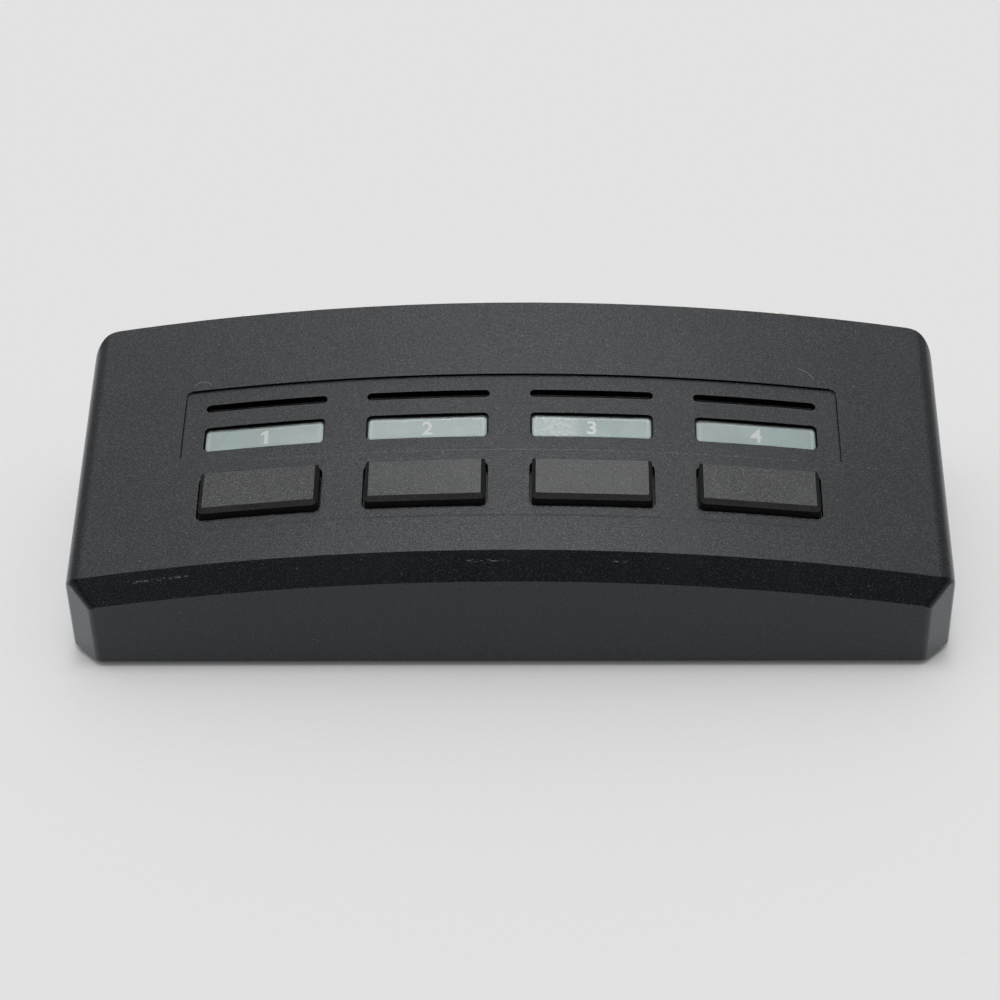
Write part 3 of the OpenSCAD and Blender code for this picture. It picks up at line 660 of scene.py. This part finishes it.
# Each strip of painted shade has four corners across: its place from the middle and its height over the
# cover.
CREASE_ENDS = (("crease_left", -1.0, -0.0070), ("crease_right", 1.0, -0.0086))
CREASE_BACK = 0.0106
CREASE_SECTION = ((0.07555, 0.00002), (0.07588, 0.00002), (0.07588, -0.0001), (0.07555, -0.0001))
CREASE_STEPS = 40
OVER_THE_PART = 0.08

# The strips are near-black sheets laid where there is only shade.
painted_strip_finish = crease_dirt()
cover = nodes["top_cover"]
for name, side, front in CREASE_ENDS:
    points = []
    for step in range(CREASE_STEPS + 1):
        y = front + (CREASE_BACK - front) * step / CREASE_STEPS
        for x, height in CREASE_SECTION:
            above = Vector((side * x, y, OVER_THE_PART))
            place, normal = cover.ray_cast(above, Vector((0.0, 0.0, -1.0)))[1:3]
            points.append(place + normal * height)
    last = 4 * CREASE_STEPS
    faces = [(3, 2, 1, 0), (last, last + 1, last + 2, last + 3)]
    for row in range(0, last, 4):
        for corner in range(4):
            following = (corner + 1) % 4
            faces.append((row + corner, row + following, row + following + 4, row + corner + 4))
    mesh = bpy.data.meshes.new(name)
    mesh.from_pydata(points, [], faces)
    mesh.materials.append(painted_strip_finish)
    crease = add_object(name, mesh)
    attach(crease, "case")

NUMBER_HEIGHT = 0.0039
NUMBER_LIFT = 0.00004
NUMBER_SHIFT = 0.0003
# In the units of the outline, before it is scaled to its height.
NUMBER_BOLD = 0.022
NUMBER_THICK = 0.004
ONE = ((0.20, 0.0), (0.37, 0.0), (0.37, 0.70), (0.25, 0.70), (0.05, 0.58), (0.05, 0.44), (0.20, 0.52))


# Each label carries its station's number, printed on the card where the lens shows it.
def card_place(station):
    faces = [face for face in nodes[f"label_card_{station}"].data.polygons if face.normal.z > LEVEL]
    area = sum(face.area for face in faces)
    point = sum((face.center * face.area for face in faces), Vector()) / area
    normal = sum((face.normal * face.area for face in faces), Vector()).normalized()
    low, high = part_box(f"window_lens_{station}")
    x = (low[0] + high[0]) / 2
    y = (low[1] + high[1]) / 2 + NUMBER_SHIFT
    z = point.z - (normal.x * (x - point.x) + normal.y * (y - point.y)) / normal.z
    return Vector((x, y, z)), normal


# The figure 1 gets a flag, so that it doesn't read as a plain bar.
def figure(station):
    if station > 1:
        curve = bpy.data.curves.new(f"number_{station}_outline", "FONT")
        curve.body = str(station)
        curve.offset = NUMBER_BOLD
    else:
        curve = bpy.data.curves.new("number_1_outline", "CURVE")
        curve.dimensions = "2D"
        curve.fill_mode = "BOTH"
        spline = curve.splines.new("POLY")
        spline.points.add(len(ONE) - 1)
        for point, (x, y) in zip(spline.points, ONE):
            point.co = (x, y, 0.0, 1.0)
        spline.use_cyclic_u = True
    curve.extrude = NUMBER_THICK
    return curve


for station in STATIONS:
    middle, normal = card_place(station)
    across = Vector((1.0, 0.0, 0.0))
    across = (across - normal * across.dot(normal)).normalized()
    turn = Matrix((across, normal.cross(across), normal)).transposed().to_4x4()
    outline = bpy.data.objects.new(f"number_{station}_outline", figure(station))
    mesh = bpy.data.meshes.new_from_object(outline)
    bpy.data.objects.remove(outline)
    low_x = min(vertex.co.x for vertex in mesh.vertices)
    high_x = max(vertex.co.x for vertex in mesh.vertices)
    low_y = min(vertex.co.y for vertex in mesh.vertices)
    high_y = max(vertex.co.y for vertex in mesh.vertices)
    to_middle = Matrix.Translation((-(low_x + high_x) / 2, -(low_y + high_y) / 2, 0.0))
    mesh.transform(Matrix.Scale(NUMBER_HEIGHT / (high_y - low_y), 4) @ to_middle)
    mesh.materials.clear()
    mesh.materials.append(ink)
    number = add_object(f"label_number_{station}", mesh)
    number.matrix_world = Matrix.Translation(middle + normal * NUMBER_LIFT) @ turn
    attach(number, "case")

FLOOR_REACH = 12.0
FLOOR_GLOW = 0.74
# The share of the floor's glow at the case, away from it, and how far from the case it gets there.
GLOW_AT_CASE = 0.06
GLOW_AWAY = 0.42
GLOW_FADE = 0.006


# A pale, plain floor. Where it is seen, part of its brightness is its own, so that the object's wide shadow
# stays faint. That part is small next to the case, so that the contact shadow stays dark.
def paper():
    f = Finish("paper", {"IOR": 1.3, "Specular IOR Level": 0.2})
    fibre = f.noise(700.0, 3.0, 0.6)
    tone = f.mix(f.ramp(fibre, 0.3, 0.7), grey(0.80), grey(0.82))
    material = f.set(Base_Color=tone, Roughness=f.ramp(fibre, 0.3, 0.7, 0.8, 0.9))
    ray = f.tree.nodes.new("ShaderNodeLightPath").outputs
    seen = f.most(ray["Is Camera Ray"], ray["Is Glossy Ray"])
    seen = f.most(seen, ray["Is Transmission Ray"])
    low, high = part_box("bottom_cover")
    aside = f.minus(f.absolute(f.axis("X")), high[0])
    depth = f.absolute(f.minus(f.axis("Y"), (low[1] + high[1]) / 2))
    away = f.most(aside, f.minus(depth, (high[1] - low[1]) / 2))
    glow = f.tree.nodes.new("ShaderNodeEmission")
    glow.inputs["Color"].default_value = grey(FLOOR_GLOW)
    both = f.tree.nodes.new("ShaderNodeMixShader")
    f.feed(both.inputs[0], f.times(seen, f.ramp(away, 0.0, GLOW_FADE, GLOW_AT_CASE, GLOW_AWAY)))
    f.feed(both.inputs[1], f.shader.outputs[0])
    f.feed(both.inputs[2], glow.outputs[0])
    f.feed(f.output.inputs["Surface"], both.outputs[0])
    return material


floor_mesh = bpy.data.meshes.new("floor")
corners = [(x * FLOOR_REACH, y * FLOOR_REACH, 0.0) for x, y in ((-1, -1), (1, -1), (1, 1), (-1, 1))]
floor_mesh.from_pydata(corners, [], [(0, 1, 2, 3)])
floor_mesh.materials.append(paper())
floor = add_object("floor", floor_mesh)

# Soft light from wide lobes of the sky. Each has its direction, how tight it is, and its strength.
LOBES = (
    ((0.0, 0.0, 1.0), 40.0, 5.0),
    ((0.0, 0.276, 0.961), 40.0, 2.2),
    ((0.5, 0.0, 0.866), 9.0, 0.84),
    ((-0.5, 0.0, 0.866), 9.0, 1.15),
    ((0.0, 0.866, 0.5), 9.0, 1.72),
    ((0.612, 0.612, 0.5), 9.0, 0.45),
    ((-0.612, 0.612, 0.5), 9.0, 0.53),
)
world = bpy.data.worlds.new("studio")
bpy.context.scene.world = world
world.use_nodes = True
sky_tree = world.node_tree
sky_tree.nodes.clear()
towards = sky_tree.nodes.new("ShaderNodeTexCoord").outputs["Generated"]
brightness = 0.0
for direction, tightness, strength in LOBES:
    facing = sky_tree.nodes.new("ShaderNodeVectorMath")
    facing.operation = "DOT_PRODUCT"
    facing.inputs[1].default_value = Vector(direction).normalized()
    sky_tree.links.new(towards, facing.inputs[0])
    fall = calculate(sky_tree, "SUBTRACT", facing.outputs["Value"], 1.0)
    fall = calculate(sky_tree, "MULTIPLY", fall, tightness)
    lobe = calculate(sky_tree, "POWER", math.e, fall)
    lobe = calculate(sky_tree, "MULTIPLY", lobe, strength)
    brightness = calculate(sky_tree, "ADD", brightness, lobe)
sky = sky_tree.nodes.new("ShaderNodeBackground")
sky.inputs["Color"].default_value = grey(1.0)
sky_tree.links.new(brightness, sky.inputs["Strength"])
world_output = sky_tree.nodes.new("ShaderNodeOutputWorld")
sky_tree.links.new(sky.outputs[0], world_output.inputs["Surface"])

# The camera stands where the photograph was taken from, as fitted to the part's edges in it.
CAMERA_PLACE = (0.01390, -0.48712, 0.42308)
CAMERA_FORWARD = (-0.02601, 0.76545, -0.64297)
CAMERA_UPWARD = (0.00286, 0.64324, 0.76566)
lens = bpy.data.cameras.new("camera")
lens.sensor_width = 36.0
lens.lens = 97.2
lens.clip_start = 0.01
camera = add_object("camera", lens)
forward = Vector(CAMERA_FORWARD).normalized()
upward = Vector(CAMERA_UPWARD)
upward = (upward - forward * upward.dot(forward)).normalized()
turn = Matrix((forward.cross(upward), upward, -forward)).transposed().to_4x4()
camera.matrix_world = Matrix.Translation(CAMERA_PLACE) @ turn
bpy.context.scene.camera = camera

bpy.context.scene.view_settings.view_transform = "Standard"
